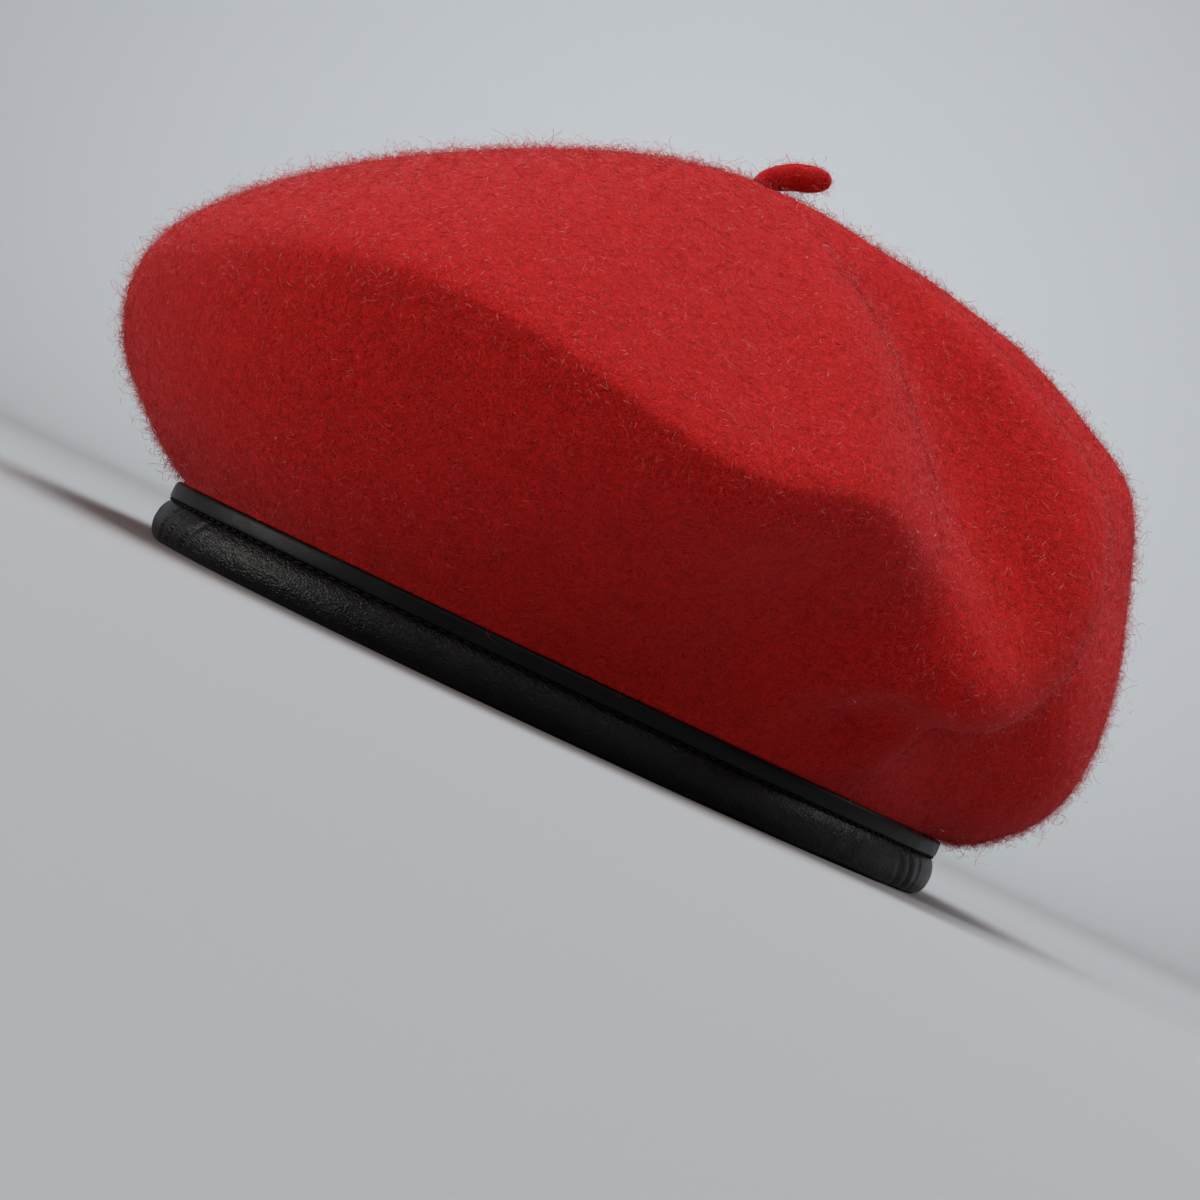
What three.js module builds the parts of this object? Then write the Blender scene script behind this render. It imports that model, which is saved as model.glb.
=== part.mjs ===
// A felt beret with a leather band, in millimetres, +Z up. It rests on its band.
// The wearer's forehead is towards -Y and the wearer's left is towards +X.
// A direction is an angle in degrees: 0 is the front, 90 the left, 180 the back and 270 the right.
// A level runs up the crown: 0 at the band, 1 at its widest edge and 2 at its middle.
import * as THREE from 'three';

// Head opening, measured on the outside of the leather roll
const BAND_LONG = 103.5; // half of the front-to-back length
const BAND_WIDE = 83.5; // half of the side-to-side width

// Thicknesses and the clearance between pieces
const FELT = 2.0;
const LEATHER = 1.2;
const LEAF = 1.5; // inner leather leaf that lies against the head
const GAP = 0.3;
const BEVEL = 0.4; // on the leather's cut edges

// Heights above the surface that the band rests on
const ROLL_TOP = 9.6;
const STRIP_TOP = 14.0;
const CROWN_START = 14.5; // where the felt turns out over the strip
const LEAF_TOP = 15.2;
const FELT_BOTTOM = 2.8; // the felt's edge, inside the folded leather
const APEX = 135; // middle of the crown
const APEX_FORWARD = 8; // the middle sits this far towards the front

// How far the faces of the band's layers lie in from the roll's outside
const STRIP_OUTER = 0.8;
const STRIP_INNER = STRIP_OUTER + LEATHER;
const FELT_OUTER = STRIP_INNER + GAP;
const FELT_INNER = FELT_OUTER + FELT;
const LEAF_OUTER = FELT_INNER + GAP;
const LEAF_INNER = LEAF_OUTER + LEAF;

// Stalk at the middle of the crown
const STALK_LENGTH = 18;
const STALK_RADIUS = 3.3;
const STALK_DIRECTION = 152; // it lies over towards the back
const STALK_RISE = 15; // degrees above level
const STALK_NECK = 3.8; // it stands up this far before it bends over
const STALK_SIDES = 12;
// Its round sections: share of the length, share of the radius
const STALK_SECTIONS = [
  [0, 0.9], [0.2, 0.8], [0.35, 0.88], [0.5, 0.96], [0.66, 1], [0.82, 0.98], [0.92, 0.8], [0.98, 0.45],
];

// The crown's section in each direction.
// edgeOut: widest edge out from the band; edgeHeight: its height; flare: lean of the felt where it
// leaves the band, from upright; reach, under: handles of the lower arc; over, spread: handles of the
// upper arc, up from the edge and out from the middle (spread is a share of the edge's radius).
const SECTION_COLUMNS = ['direction', 'edgeOut', 'edgeHeight', 'flare', 'reach', 'under', 'over', 'spread'];
const SECTIONS = [
  [0, 24.5, 58, 60, 16.5, 18, 27, 0.23],
  [35, 25.5, 71, 45, 24, 17, 9.5, 0.28],
  [70, 30.5, 62.5, 28, 36, 14.5, 8.5, 0.2],
  [85, 26.5, 69, 16, 33.5, 13, 11.5, 0.27],
  [100, 17, 60, 22, 33.5, 12.5, 18, 0.39],
  [113, 21, 48, 40, 24, 12, 26, 0.54],
  [129, 21, 62, 44, 23, 13.5, 44.5, 0.52],
  [145, 23, 44, 65, 3, 23, 63, 0.31],
  [165, 23, 51, 100, 18, 14.5, 87, 0.43],
  [200, 26, 48, 98, 20, 18, 70, 0.48],
  [240, 30, 44, 80, 22, 16, 50, 0.52],
  [280, 32, 42, 55, 22, 14, 44, 0.48],
  [320, 33.5, 49, 50, 24, 19, 32, 0.37],
].map((row) => Object.fromEntries(SECTION_COLUMNS.map((name, i) => [name, row[i]])));

// Folds in the felt. Each follows a path of [direction, level] pairs, upwards, and swells on its
// near side by height over a breadth of broad (and edge on the far side), then sinks by depth at
// gap past the path, over narrow before that and wide after it. fade is the share of the path over
// which it comes in and goes out.
const FOLDS = {
  facet: {
    path: [[113.5, 0.88], [107.5, 1.03], [102, 1.16], [98, 1.35], [97, 1.54], [90, 1.7], [70, 1.86]],
    height: 2, broad: 28, edge: 6, depth: 4.5, gap: 11.5, narrow: 11, wide: 20, fade: [0.6, 0.35],
  },
  corner: {
    path: [[110.5, 0.06], [111, 0.25], [110.5, 0.5], [113, 0.7], [119.5, 0.92], [125, 1.07], [127, 1.15],
      [131, 1.26], [140, 1.36], [146, 1.45]],
    height: 7, broad: 20, edge: 6, depth: 11, gap: 10, narrow: 8, wide: 20, fade: [0.25, 0.45],
  },
  pleat: {
    path: [[90, 0.06], [99, 0.32], [105, 0.62], [109.5, 0.78], [116, 0.98]],
    height: 5, broad: 11, edge: 5, depth: 4, gap: 8, narrow: 7, wide: 8, fade: [0.3, 0.3],
  },
  backRim: {
    path: [[134.5, 1.26], [150.5, 1.33], [168, 1.3], [190, 1.28], [215, 1.2]],
    height: 4, broad: 12, edge: 16, depth: 0, gap: 0, narrow: 5, wide: 5, fade: [0.3, 0.4],
  },
  leftDrape: {
    path: [[232, 0.25], [238, 0.6], [240, 1], [235, 1.35]],
    height: 3, broad: 16, edge: 7, depth: 5, gap: 12, narrow: 8, wide: 18, fade: [0.3, 0.4],
  },
  rightDrape: {
    path: [[292, 0.3], [286, 0.7], [280, 1.05], [276, 1.4]],
    height: 3, broad: 18, edge: 9, depth: 4, gap: 14, narrow: 9, wide: 20, fade: [0.3, 0.4],
  },
};
const FOLD_STEPS = 5; // samples of a fold's path for each of its points
const FOLD_BLEND = 3; // millimetres over which neighbouring stretches of a path blend
const STEEPEST = 0.65; // least share of the wall's thickness that a slope in a fold may take up
const CLEAR_ROWS = 3; // rows above the band where the wall keeps clear of the leather leaf
const CALM = 0.12; // share of a level over which all folds die out at the band and at the middle

// Grid of the crown: directions are closer together where the folds are sharp
const COARSE_TURN = 6;
const FINE_TURN = 2;
const FINE_FROM = 96;
const FINE_TO = 150;
const LOW_STEPS = 8;
const HIGH_STEPS = 13;

const directions = [];
for (let turn = 0; turn < 360; turn += turn >= FINE_FROM && turn < FINE_TO ? FINE_TURN : COARSE_TURN) {
  directions.push(turn);
}

const radians = THREE.MathUtils.degToRad;

// Smooth value of a column at a direction, through the rows and once round
function sectionValue(column, direction) {
  const count = SECTIONS.length;
  const turn = THREE.MathUtils.euclideanModulo(direction, 360);
  const first = SECTIONS.findLastIndex((row) => row.direction <= turn);
  const at = (index) => {
    const row = SECTIONS[THREE.MathUtils.euclideanModulo(index, count)];
    return [row.direction + 360 * Math.floor(index / count), row[column]];
  };
  const [before, start, end, after] = [first - 1, first, first + 1, first + 2].map(at);
  const span = end[0] - start[0];
  const t = (turn - start[0]) / span;
  const startSlope = ((end[1] - before[1]) / (end[0] - before[0])) * span;
  const endSlope = ((after[1] - start[1]) / (after[0] - start[0])) * span;
  return (2 * t ** 3 - 3 * t ** 2 + 1) * start[1] + (t ** 3 - 2 * t ** 2 + t) * startSlope
    + (-2 * t ** 3 + 3 * t ** 2) * end[1] + (t ** 3 - t ** 2) * endSlope;
}

// Outside radius of the band in a direction
function bandRadius(direction) {
  const turn = radians(direction);
  return 1 / Math.hypot(Math.sin(turn) / BAND_WIDE, Math.cos(turn) / BAND_LONG);
}

function polar(direction, radius, height) {
  const turn = radians(direction);
  return new THREE.Vector3(radius * Math.sin(turn), -radius * Math.cos(turn), height);
}

// Point of the crown's outside before its folds
function smoothCrown(direction, level) {
  const value = (column) => sectionValue(column, direction);
  const flare = radians(value('flare'));
  const reach = value('reach');
  const edge = new THREE.Vector2(bandRadius(direction) + value('edgeOut'), value('edgeHeight'));
  if (level <= 1) {
    const start = new THREE.Vector2(bandRadius(direction) - FELT_OUTER, CROWN_START);
    const leave = new THREE.Vector2(Math.sin(flare), Math.cos(flare)).multiplyScalar(reach).add(start);
    const arrive = new THREE.Vector2(edge.x, edge.y - value('under'));
    const place = new THREE.CubicBezierCurve(start, leave, arrive, edge).getPoint(level);
    return polar(direction, place.x, place.y);
  }
  const leave = new THREE.Vector2(edge.x, edge.y + value('over'));
  const arrive = new THREE.Vector2(edge.x * value('spread'), APEX);
  const middle = new THREE.Vector2(0, APEX);
  const place = new THREE.CubicBezierCurve(edge, leave, arrive, middle).getPoint(level - 1);
  const forward = APEX_FORWARD * THREE.MathUtils.smoothstep(level, 1, 2);
  return polar(direction, place.x, place.y).add(new THREE.Vector3(0, -forward, 0));
}

// Outward normal of the smooth crown
function smoothNormal(direction, level) {
  const turn = 0.5;
  const step = 0.002;
  const around = smoothCrown(direction + turn, level).sub(smoothCrown(direction - turn, level));
  const above = smoothCrown(direction, Math.min(level + step, 2));
  const below = smoothCrown(direction, Math.max(level - step, 0));
  return around.cross(above.sub(below)).normalize();
}

function foldLine(fold) {
  const points = fold.path.map(([direction, level]) => new THREE.Vector3(direction, level, 0));
  const route = new THREE.CatmullRomCurve3(points, false, 'catmullrom', 0.5);
  return route.getPoints((points.length - 1) * FOLD_STEPS).map((point) => smoothCrown(point.x, point.y));
}

const bell = (x) => Math.exp(-x * x);

// How far a fold moves a point of the crown along its normal
function foldHeight(fold, line, point, normal) {
  const count = line.length - 1;
  const near = [];
  for (let i = 0; i < count; i += 1) {
    const along = line[i + 1].clone().sub(line[i]);
    const t = THREE.MathUtils.clamp(point.clone().sub(line[i]).dot(along) / along.lengthSq(), 0, 1);
    const away = point.clone().sub(line[i]).addScaledVector(along, -t);
    const side = along.cross(normal).dot(away) > 0 ? 1 : -1;
    near.push({ share: (i + t) / count, distance: away.length(), side });
  }
  const closest = near.reduce((best, stretch) => (stretch.distance < best.distance ? stretch : best));
  const weights = near.map((stretch) => Math.exp((closest.distance - stretch.distance) / FOLD_BLEND));
  const weightSum = weights.reduce((sum, weight) => sum + weight, 0);
  const share = near.reduce((sum, stretch, i) => sum + weights[i] * stretch.share, 0) / weightSum;
  const fade = THREE.MathUtils.smoothstep(share, 0, fold.fade[0])
    * THREE.MathUtils.smoothstep(1 - share, 0, fold.fade[1]);
  const distance = closest.side * closest.distance;
  const swell = fold.height * bell(distance / (distance < 0 ? fold.broad : fold.edge));
  const past = distance - fold.gap;
  const sink = fold.depth * bell(past / (past < 0 ? fold.narrow : fold.wide));
  return fade * (swell - sink);
}

// Closed or open tube of rings: each ring is a list of points, joined to the next ring
function joinRings(rings, closed) {
  const count = rings[0].length;
  const positions = rings.flat().flatMap((point) => point.toArray());
  const indices = [];
  const last = closed ? rings.length : rings.length - 1;
  for (let i = 0; i < last; i += 1) {
    const next = (i + 1) % rings.length;
    for (let j = 0; j < count; j += 1) {
      const beside = (j + 1) % count;
      const [a, b] = [i * count + j, i * count + beside];
      const [c, d] = [next * count + beside, next * count + j];
      indices.push(a, b, c, a, c, d);
    }
  }
  return { positions, indices, count };
}

function fanTo(body, ringIndex, point, flip) {
  const tip = body.positions.length / 3;
  body.positions.push(...point.toArray());
  for (let j = 0; j < body.count; j += 1) {
    const a = ringIndex * body.count + j;
    const b = ringIndex * body.count + ((j + 1) % body.count);
    body.indices.push(...(flip ? [b, a, tip] : [a, b, tip]));
  }
}

function toGeometry(body) {
  const geometry = new THREE.BufferGeometry();
  geometry.setAttribute('position', new THREE.Float32BufferAttribute(body.positions, 3));
  geometry.setIndex(body.indices);
  geometry.computeVertexNormals();
  return geometry;
}

// The felt shell: outside rings from the edge inside the leather up to the middle, then the inside
// rings back down
function crownGeometry() {
  const lines = Object.values(FOLDS).map((fold) => [fold, foldLine(fold)]);
  const levels = [];
  for (let i = 0; i <= LOW_STEPS; i += 1) levels.push(i / LOW_STEPS);
  for (let i = 1; i < HIGH_STEPS; i += 1) levels.push(1 + i / HIGH_STEPS);
  const outer = [directions.map((turn) => polar(turn, bandRadius(turn) - FELT_OUTER, FELT_BOTTOM))];
  for (const level of levels) {
    const calm = Math.min(1, level / CALM, (2 - level) / CALM);
    outer.push(directions.map((turn) => {
      const point = smoothCrown(turn, level);
      const normal = smoothNormal(turn, level);
      const height = lines.reduce((sum, [fold, line]) => sum + foldHeight(fold, line, point, normal), 0);
      return point.addScaledVector(normal, height * calm);
    }));
  }
  const apex = new THREE.Vector3(0, -APEX_FORWARD, APEX);
  const count = directions.length;
  const normals = outer.map((ring, i) => ring.map((point, j) => {
    const around = ring[(j + 1) % count].clone().sub(ring[(j + count - 1) % count]);
    const up = (i + 1 < outer.length ? outer[i + 1][j] : apex).clone().sub(outer[Math.max(i - 1, 0)][j]);
    return around.cross(up).normalize();
  }));
  const inner = outer.map((ring, i) => ring.map((point, j) => {
    if (i === 0) return polar(directions[j], bandRadius(directions[j]) - FELT_INNER, FELT_BOTTOM);
    const near = [i - 1, i, Math.min(i + 1, outer.length - 1)].flatMap(
      (row) => [j + count - 1, j, j + 1].map((column) => normals[row][column % count]),
    );
    const inward = near.reduce((sum, normal) => sum.add(normal), new THREE.Vector3()).normalize();
    const steepest = i > CLEAR_ROWS ? Math.min(...near.map((normal) => normal.dot(inward))) : 1;
    return point.clone().addScaledVector(inward, -FELT / Math.max(steepest, STEEPEST));
  }));
  const body = joinRings([...inner.reverse(), ...outer], false);
  fanTo(body, outer.length * 2 - 1, apex, false);
  fanTo(body, 0, apex.clone().add(new THREE.Vector3(0, 0, -FELT)), true);
  return toGeometry(body);
}

// A ring round the head opening from a section of [in from the roll's outside, height] points,
// listed clockwise as seen with the outside to the right
function bandGeometry(section) {
  const rings = section.map(([inward, height]) => directions.map(
    (turn) => polar(turn, bandRadius(turn) - inward, height),
  ));
  return toGeometry(joinRings(rings, true));
}

// Padded roll, folded under the felt's edge, with the inner leaf standing against the head
const ROLL_SECTION = [
  [1.6, 0], [0.6, 0.7], [0.1, 2.6], [0, 4.8], [0.2, 7.0], [0.7, 8.8], [1.4, ROLL_TOP],
  [STRIP_INNER, ROLL_TOP], [STRIP_INNER, FELT_BOTTOM - GAP], [LEAF_OUTER, FELT_BOTTOM - GAP],
  [LEAF_OUTER, LEAF_TOP - BEVEL], [LEAF_OUTER + BEVEL, LEAF_TOP], [LEAF_INNER - BEVEL, LEAF_TOP],
  [LEAF_INNER, LEAF_TOP - BEVEL], [LEAF_INNER, 1.2], [LEAF_INNER - 0.7, 0],
];

// Flat strip, stitched round the felt above the roll
const STRIP_SECTION = [
  [STRIP_OUTER + BEVEL, ROLL_TOP + GAP], [STRIP_OUTER, ROLL_TOP + GAP + BEVEL],
  [STRIP_OUTER, STRIP_TOP - BEVEL], [STRIP_OUTER + BEVEL, STRIP_TOP],
  [STRIP_INNER, STRIP_TOP], [STRIP_INNER, ROLL_TOP + GAP],
];

// The stalk: round sections along a short bent route, with a rounded tip
function stalkGeometry() {
  const root = new THREE.Vector3(0, -APEX_FORWARD, APEX + GAP);
  const lean = polar(STALK_DIRECTION, Math.cos(radians(STALK_RISE)), Math.sin(radians(STALK_RISE)));
  const neck = root.clone().add(new THREE.Vector3(0, 0, STALK_NECK));
  const tip = neck.clone().addScaledVector(lean, STALK_LENGTH - STALK_RADIUS);
  const route = new THREE.QuadraticBezierCurve3(root, neck, tip);
  const rings = STALK_SECTIONS.map(([share, size]) => {
    const tangent = share === 0 ? new THREE.Vector3(0, 0, 1) : route.getTangent(share);
    const across = new THREE.Vector3(0, 0, 1).cross(polar(STALK_DIRECTION, 1, 0)).normalize();
    const upward = tangent.clone().cross(across).normalize();
    const middle = route.getPoint(share);
    const ring = [];
    for (let k = 0; k < STALK_SIDES; k += 1) {
      const turn = (2 * Math.PI * k) / STALK_SIDES;
      ring.push(middle.clone()
        .addScaledVector(across, Math.cos(turn) * size * STALK_RADIUS)
        .addScaledVector(upward, Math.sin(turn) * size * STALK_RADIUS));
    }
    return ring;
  });
  const body = joinRings(rings, false);
  fanTo(body, rings.length - 1, tip, false);
  fanTo(body, 0, root, true);
  return toGeometry(body);
}

const redFelt = { color: 0xa81a1e, roughness: 0.95, metalness: 0 };
const blackLeather = { color: 0x141416, roughness: 0.45, metalness: 0 };

const beret = new THREE.Group();

function addPiece(name, geometry, finish) {
  const mesh = new THREE.Mesh(geometry, new THREE.MeshStandardMaterial(finish));
  mesh.name = name;
  beret.add(mesh);
}

addPiece('crown', crownGeometry(), redFelt);
addPiece('stalk', stalkGeometry(), redFelt);
addPiece('band_strip', bandGeometry(STRIP_SECTION), blackLeather);
addPiece('band_roll', bandGeometry(ROLL_SECTION), blackLeather);

// The middle of the box of all pieces goes over the origin
const box = new THREE.Box3().setFromObject(beret, true);
const middle = box.getCenter(new THREE.Vector3());
beret.position.set(-middle.x, -middle.y, 0);

export default beret;
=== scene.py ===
"""A red wool felt beret with a black leather band, resting on a pale floor. Metres, +Z up."""

import math

import bpy
import numpy as np
from mathutils import Matrix, Vector, noise


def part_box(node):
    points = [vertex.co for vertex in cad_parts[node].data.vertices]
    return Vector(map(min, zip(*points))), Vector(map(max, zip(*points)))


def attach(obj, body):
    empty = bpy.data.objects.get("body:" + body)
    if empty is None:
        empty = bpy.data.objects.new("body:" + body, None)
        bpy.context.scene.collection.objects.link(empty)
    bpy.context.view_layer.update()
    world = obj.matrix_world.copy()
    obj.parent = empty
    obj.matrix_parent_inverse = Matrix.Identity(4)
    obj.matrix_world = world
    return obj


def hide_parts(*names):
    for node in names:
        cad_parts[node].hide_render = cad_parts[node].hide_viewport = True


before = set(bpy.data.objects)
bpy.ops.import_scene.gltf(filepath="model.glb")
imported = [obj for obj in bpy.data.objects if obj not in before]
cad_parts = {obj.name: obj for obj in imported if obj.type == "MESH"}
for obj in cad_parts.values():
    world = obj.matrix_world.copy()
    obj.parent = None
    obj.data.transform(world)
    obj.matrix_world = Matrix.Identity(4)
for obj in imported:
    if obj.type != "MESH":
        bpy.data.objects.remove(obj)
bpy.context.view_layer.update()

MM = 0.001

# The head opening's middle in the row's frame: the band is an ellipse round it
band_low, band_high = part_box("band_roll")
BAND_MIDDLE = np.array([(band_low[0] + band_high[0]) / 2, (band_low[1] + band_high[1]) / 2, 0.0])

# Sizes are in millimetres unless a comment says otherwise. A direction is an angle in degrees round
# the head opening's middle: 0 is the front (-Y) and 90 the wearer's left (+X).

# Half the band's length and half its width, on the outside of the leather roll
BAND_LONG = 103.5
BAND_WIDE = 83.5

# Thicknesses of the layers, and the gap between two of them
FELT = 2.0
LEATHER = 1.2
LEAF = 1.5
GAP = 0.3

# Heights
FELT_BOTTOM = 2.8
ROLL_TOP = 9.6
STRIP_TOP = 14.0
CROWN_START = 14.5
LEAF_TOP = 15.2

# How far in from the roll's outside each layer lies
STRIP_OUTER = 0.8
STRIP_INNER = STRIP_OUTER + LEATHER
FELT_OUTER = STRIP_INNER + GAP
FELT_INNER = FELT_OUTER + FELT
LEAF_OUTER = FELT_INNER + GAP
LEAF_INNER = LEAF_OUTER + LEAF

# The crown's middle: its height, and how far it lies to the front of the head opening's middle
APEX = 135.0
APEX_FORWARD = 8.0

# The crown's section in some directions, between which it changes smoothly. flare is in degrees
# and spread is a share of the radius. A level runs up the crown: 0 at the band, 1 at its widest
# edge and 2 at its middle.
SECTION_COLUMNS = (
    "direction", "edge_out", "edge_height", "flare", "reach", "under", "over", "spread")
SECTIONS = [dict(zip(SECTION_COLUMNS, row)) for row in (
    (0, 24.5, 58, 60, 16.5, 18, 27, 0.23),
    (35, 25.5, 71, 45, 24, 17, 9.5, 0.28),
    (70, 30.5, 62.5, 28, 36, 14.5, 8.5, 0.2),
    (85, 26.5, 69, 16, 33.5, 13, 11.5, 0.27),
    (100, 17, 60, 22, 33.5, 12.5, 18, 0.39),
    (113, 21, 48, 40, 24, 12, 26, 0.54),
    (129, 21, 62, 44, 23, 13.5, 44.5, 0.52),
    (145, 23, 44, 65, 3, 23, 63, 0.31),
    (165, 23, 51, 100, 18, 14.5, 87, 0.43),
    (200, 26, 48, 98, 20, 18, 70, 0.48),
    (240, 30, 44, 80, 22, 16, 50, 0.52),
    (280, 32, 42, 55, 22, 14, 44, 0.48),
    (320, 33.5, 49, 50, 24, 19, 32, 0.37),
)]

# Folds in the felt, each along a path of (direction, level) pairs. The felt swells by height at the
# path, with breadth broad before it and edge past it. It sinks by depth a gap past the path, with
# breadth narrow before that line and wide past it. fade gives the shares of the path over which the
# fold comes in and goes out.
FOLDS = {
    "facet": dict(
        path=[(113.5, 0.88), (107.5, 1.03), (102, 1.16), (98, 1.35), (97, 1.54), (90, 1.7),
              (70, 1.86)],
        height=2, broad=28, edge=6, depth=4.5, gap=11.5, narrow=11, wide=20, fade=(0.6, 0.35)),
    "corner": dict(
        path=[(110.5, 0.06), (111, 0.25), (110.5, 0.5), (113, 0.7), (119.5, 0.92), (125, 1.07),
              (127, 1.15), (131, 1.26), (140, 1.36), (146, 1.45)],
        height=7, broad=20, edge=6, depth=11, gap=10, narrow=8, wide=20, fade=(0.25, 0.45)),
    "pleat": dict(
        path=[(90, 0.06), (99, 0.32), (105, 0.62), (109.5, 0.78), (116, 0.98)],
        height=5, broad=11, edge=5, depth=4, gap=8, narrow=7, wide=8, fade=(0.3, 0.3)),
    "back_rim": dict(
        path=[(134.5, 1.26), (150.5, 1.33), (168, 1.3), (190, 1.28), (215, 1.2)],
        height=4, broad=12, edge=16, depth=0, gap=0, narrow=5, wide=5, fade=(0.3, 0.4)),
    "left_drape": dict(
        path=[(232, 0.25), (238, 0.6), (240, 1), (235, 1.35)],
        height=3, broad=16, edge=7, depth=5, gap=12, narrow=8, wide=18, fade=(0.3, 0.4)),
    "right_drape": dict(
        path=[(292, 0.3), (286, 0.7), (280, 1.05), (276, 1.4)],
        height=3, broad=18, edge=9, depth=4, gap=14, narrow=9, wide=20, fade=(0.3, 0.4)),
}
# Steps between two points of a path, and how soon one stretch of it takes over from another
FOLD_STEPS = 5
FOLD_BLEND = 3.0
# Levels over which everything fades out at the band and at the middle
CALM = 0.12


def section_value(column, directions):
    """Smooth value of a column, through the rows and once round."""
    places = np.array([row["direction"] for row in SECTIONS], float)
    values = np.array([row[column] for row in SECTIONS], float)
    places = np.concatenate([places[-2:] - 360, places, places[:3] + 360])
    values = np.concatenate([values[-2:], values, values[:3]])
    turn = np.asarray(directions, float) % 360
    i = np.searchsorted(places, turn, side="right") - 1
    span = places[i + 1] - places[i]
    t = (turn - places[i]) / span
    start_slope = (values[i + 1] - values[i - 1]) / (places[i + 1] - places[i - 1]) * span
    end_slope = (values[i + 2] - values[i]) / (places[i + 2] - places[i]) * span
    return ((2 * t**3 - 3 * t**2 + 1) * values[i] + (t**3 - 2 * t**2 + t) * start_slope
            + (3 * t**2 - 2 * t**3) * values[i + 1] + (t**3 - t**2) * end_slope)


def band_radius(directions):
    turn = np.radians(directions)
    return 1 / np.hypot(np.sin(turn) / BAND_WIDE, np.cos(turn) / BAND_LONG)


def polar(directions, radius, height):
    turn = np.radians(directions)
    return np.stack(np.broadcast_arrays(radius * np.sin(turn), -radius * np.cos(turn), height), -1)


def ease(x):
    x = np.clip(x, 0, 1)
    return x * x * (3 - 2 * x)


def cubic(t, a, b, c, d):
    s = 1 - t
    return s**3 * a + 3 * s * s * t * b + 3 * s * t * t * c + t**3 * d


def smooth_crown(directions, levels):
    """Points of the crown's outside before its folds."""
    directions, levels = np.broadcast_arrays(
        np.asarray(directions, float), np.asarray(levels, float))
    value = {column: section_value(column, directions) for column in SECTION_COLUMNS[1:]}
    flare = np.radians(value["flare"])
    start = band_radius(directions) - FELT_OUTER
    edge = band_radius(directions) + value["edge_out"]
    low = levels <= 1
    t = np.where(low, levels, levels - 1)
    radius = np.where(
        low,
        cubic(t, start, start + value["reach"] * np.sin(flare), edge, edge),
        cubic(t, edge, edge, edge * value["spread"], 0))
    height = np.where(
        low,
        cubic(t, CROWN_START, CROWN_START + value["reach"] * np.cos(flare),
              value["edge_height"] - value["under"], value["edge_height"]),
        cubic(t, value["edge_height"], value["edge_height"] + value["over"], APEX, APEX))
    points = polar(directions, radius, height)
    points[..., 1] -= APEX_FORWARD * ease(levels - 1)
    return points


# Degrees and levels to both sides between which the smooth crown's slope is measured
SLOPE_TURN = 0.5
SLOPE_LEVEL = 0.002


def smooth_normal(directions, levels):
    ahead = smooth_crown(directions + SLOPE_TURN, levels)
    behind = smooth_crown(directions - SLOPE_TURN, levels)
    above = smooth_crown(directions, np.minimum(levels + SLOPE_LEVEL, 2))
    below = smooth_crown(directions, np.maximum(levels - SLOPE_LEVEL, 0))
    normal = np.cross(ahead - behind, above - below)
    return normal / np.maximum(np.linalg.norm(normal, axis=-1, keepdims=True), 1e-9)


def smooth_path(points, steps):
    """Catmull-Rom curve through points, with this many steps between neighbours."""
    points = np.array(points, float)
    points = np.vstack([2 * points[0] - points[1], points, 2 * points[-1] - points[-2]])
    t = np.arange(steps)[:, None] / steps
    out = []
    for a, b, c, d in zip(points, points[1:], points[2:], points[3:]):
        out.append(0.5 * (2 * b + (c - a) * t + (2 * a - 5 * b + 4 * c - d) * t**2
                          + (3 * b - a - 3 * c + d) * t**3))
    return np.vstack([*out, points[-2]])


def bell(x):
    return np.exp(-x * x)


def fold_height(fold, points, normals):
    """How far a fold moves the crown's points along their normals."""
    path = smooth_path(fold["path"], FOLD_STEPS)
    line = smooth_crown(path[:, 0], path[:, 1])
    count = len(line) - 1
    distances, shares, sides = [], [], []
    for i in range(count):
        along = line[i + 1] - line[i]
        t = np.clip((points - line[i]) @ along / (along @ along), 0, 1)
        away = points - line[i] - t[..., None] * along
        distances.append(np.linalg.norm(away, axis=-1))
        shares.append((i + t) / count)
        sides.append(np.where((np.cross(along, normals) * away).sum(-1) > 0, 1, -1))
    distances = np.array(distances)
    nearest = distances.argmin(0)[None]
    closest = np.take_along_axis(distances, nearest, 0)[0]
    side = np.take_along_axis(np.array(sides), nearest, 0)[0]
    weights = np.exp((closest - distances) / FOLD_BLEND)
    share = (weights * np.array(shares)).sum(0) / weights.sum(0)
    fade = ease(share / fold["fade"][0]) * ease((1 - share) / fold["fade"][1])
    distance = side * closest
    swell = fold["height"] * bell(distance / np.where(distance < 0, fold["broad"], fold["edge"]))
    past = distance - fold["gap"]
    sink = fold["depth"] * bell(past / np.where(past < 0, fold["narrow"], fold["wide"]))
    return fade * (swell - sink)


def lumps(points, layers):
    """Smooth unevenness at points, as the sum of layers of (size, rise, seed)."""
    total = 0
    for size, rise, seed in layers:
        flat = points.reshape(-1, 3) / size + seed
        values = [noise.noise(point) for point in flat.tolist()]
        total = total + rise * np.array(values).reshape(points.shape[:-1])
    return total


SOFT_LUMPS = ((27, 0.55, 3), (11, 0.3, 11))
# Puckers over the band: they are drawn out upwards and strongest at one level
PUCKER_LUMPS = ((6, 0.5, 29),)
PUCKER_STRETCH = np.array([1, 1, 0.25])
PUCKER_LEVEL = 0.12
PUCKER_SPREAD = 0.16


def crown_outside(directions, levels):
    """Points of the felt's outside, with its folds, soft lumps and puckers over the band."""
    directions, levels = np.broadcast_arrays(directions, levels)
    points = smooth_crown(directions, levels)
    normals = smooth_normal(directions, levels)
    calm = np.minimum(1, np.minimum(levels, 2 - levels) / CALM)
    rise = sum(fold_height(fold, points, normals) for fold in FOLDS.values())
    soft = lumps(points, SOFT_LUMPS)
    near_band = bell((levels - PUCKER_LEVEL) / PUCKER_SPREAD)
    pucker = lumps(points * PUCKER_STRETCH, PUCKER_LUMPS) * near_band
    return points + normals * ((rise + soft + pucker) * calm)[..., None]


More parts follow.
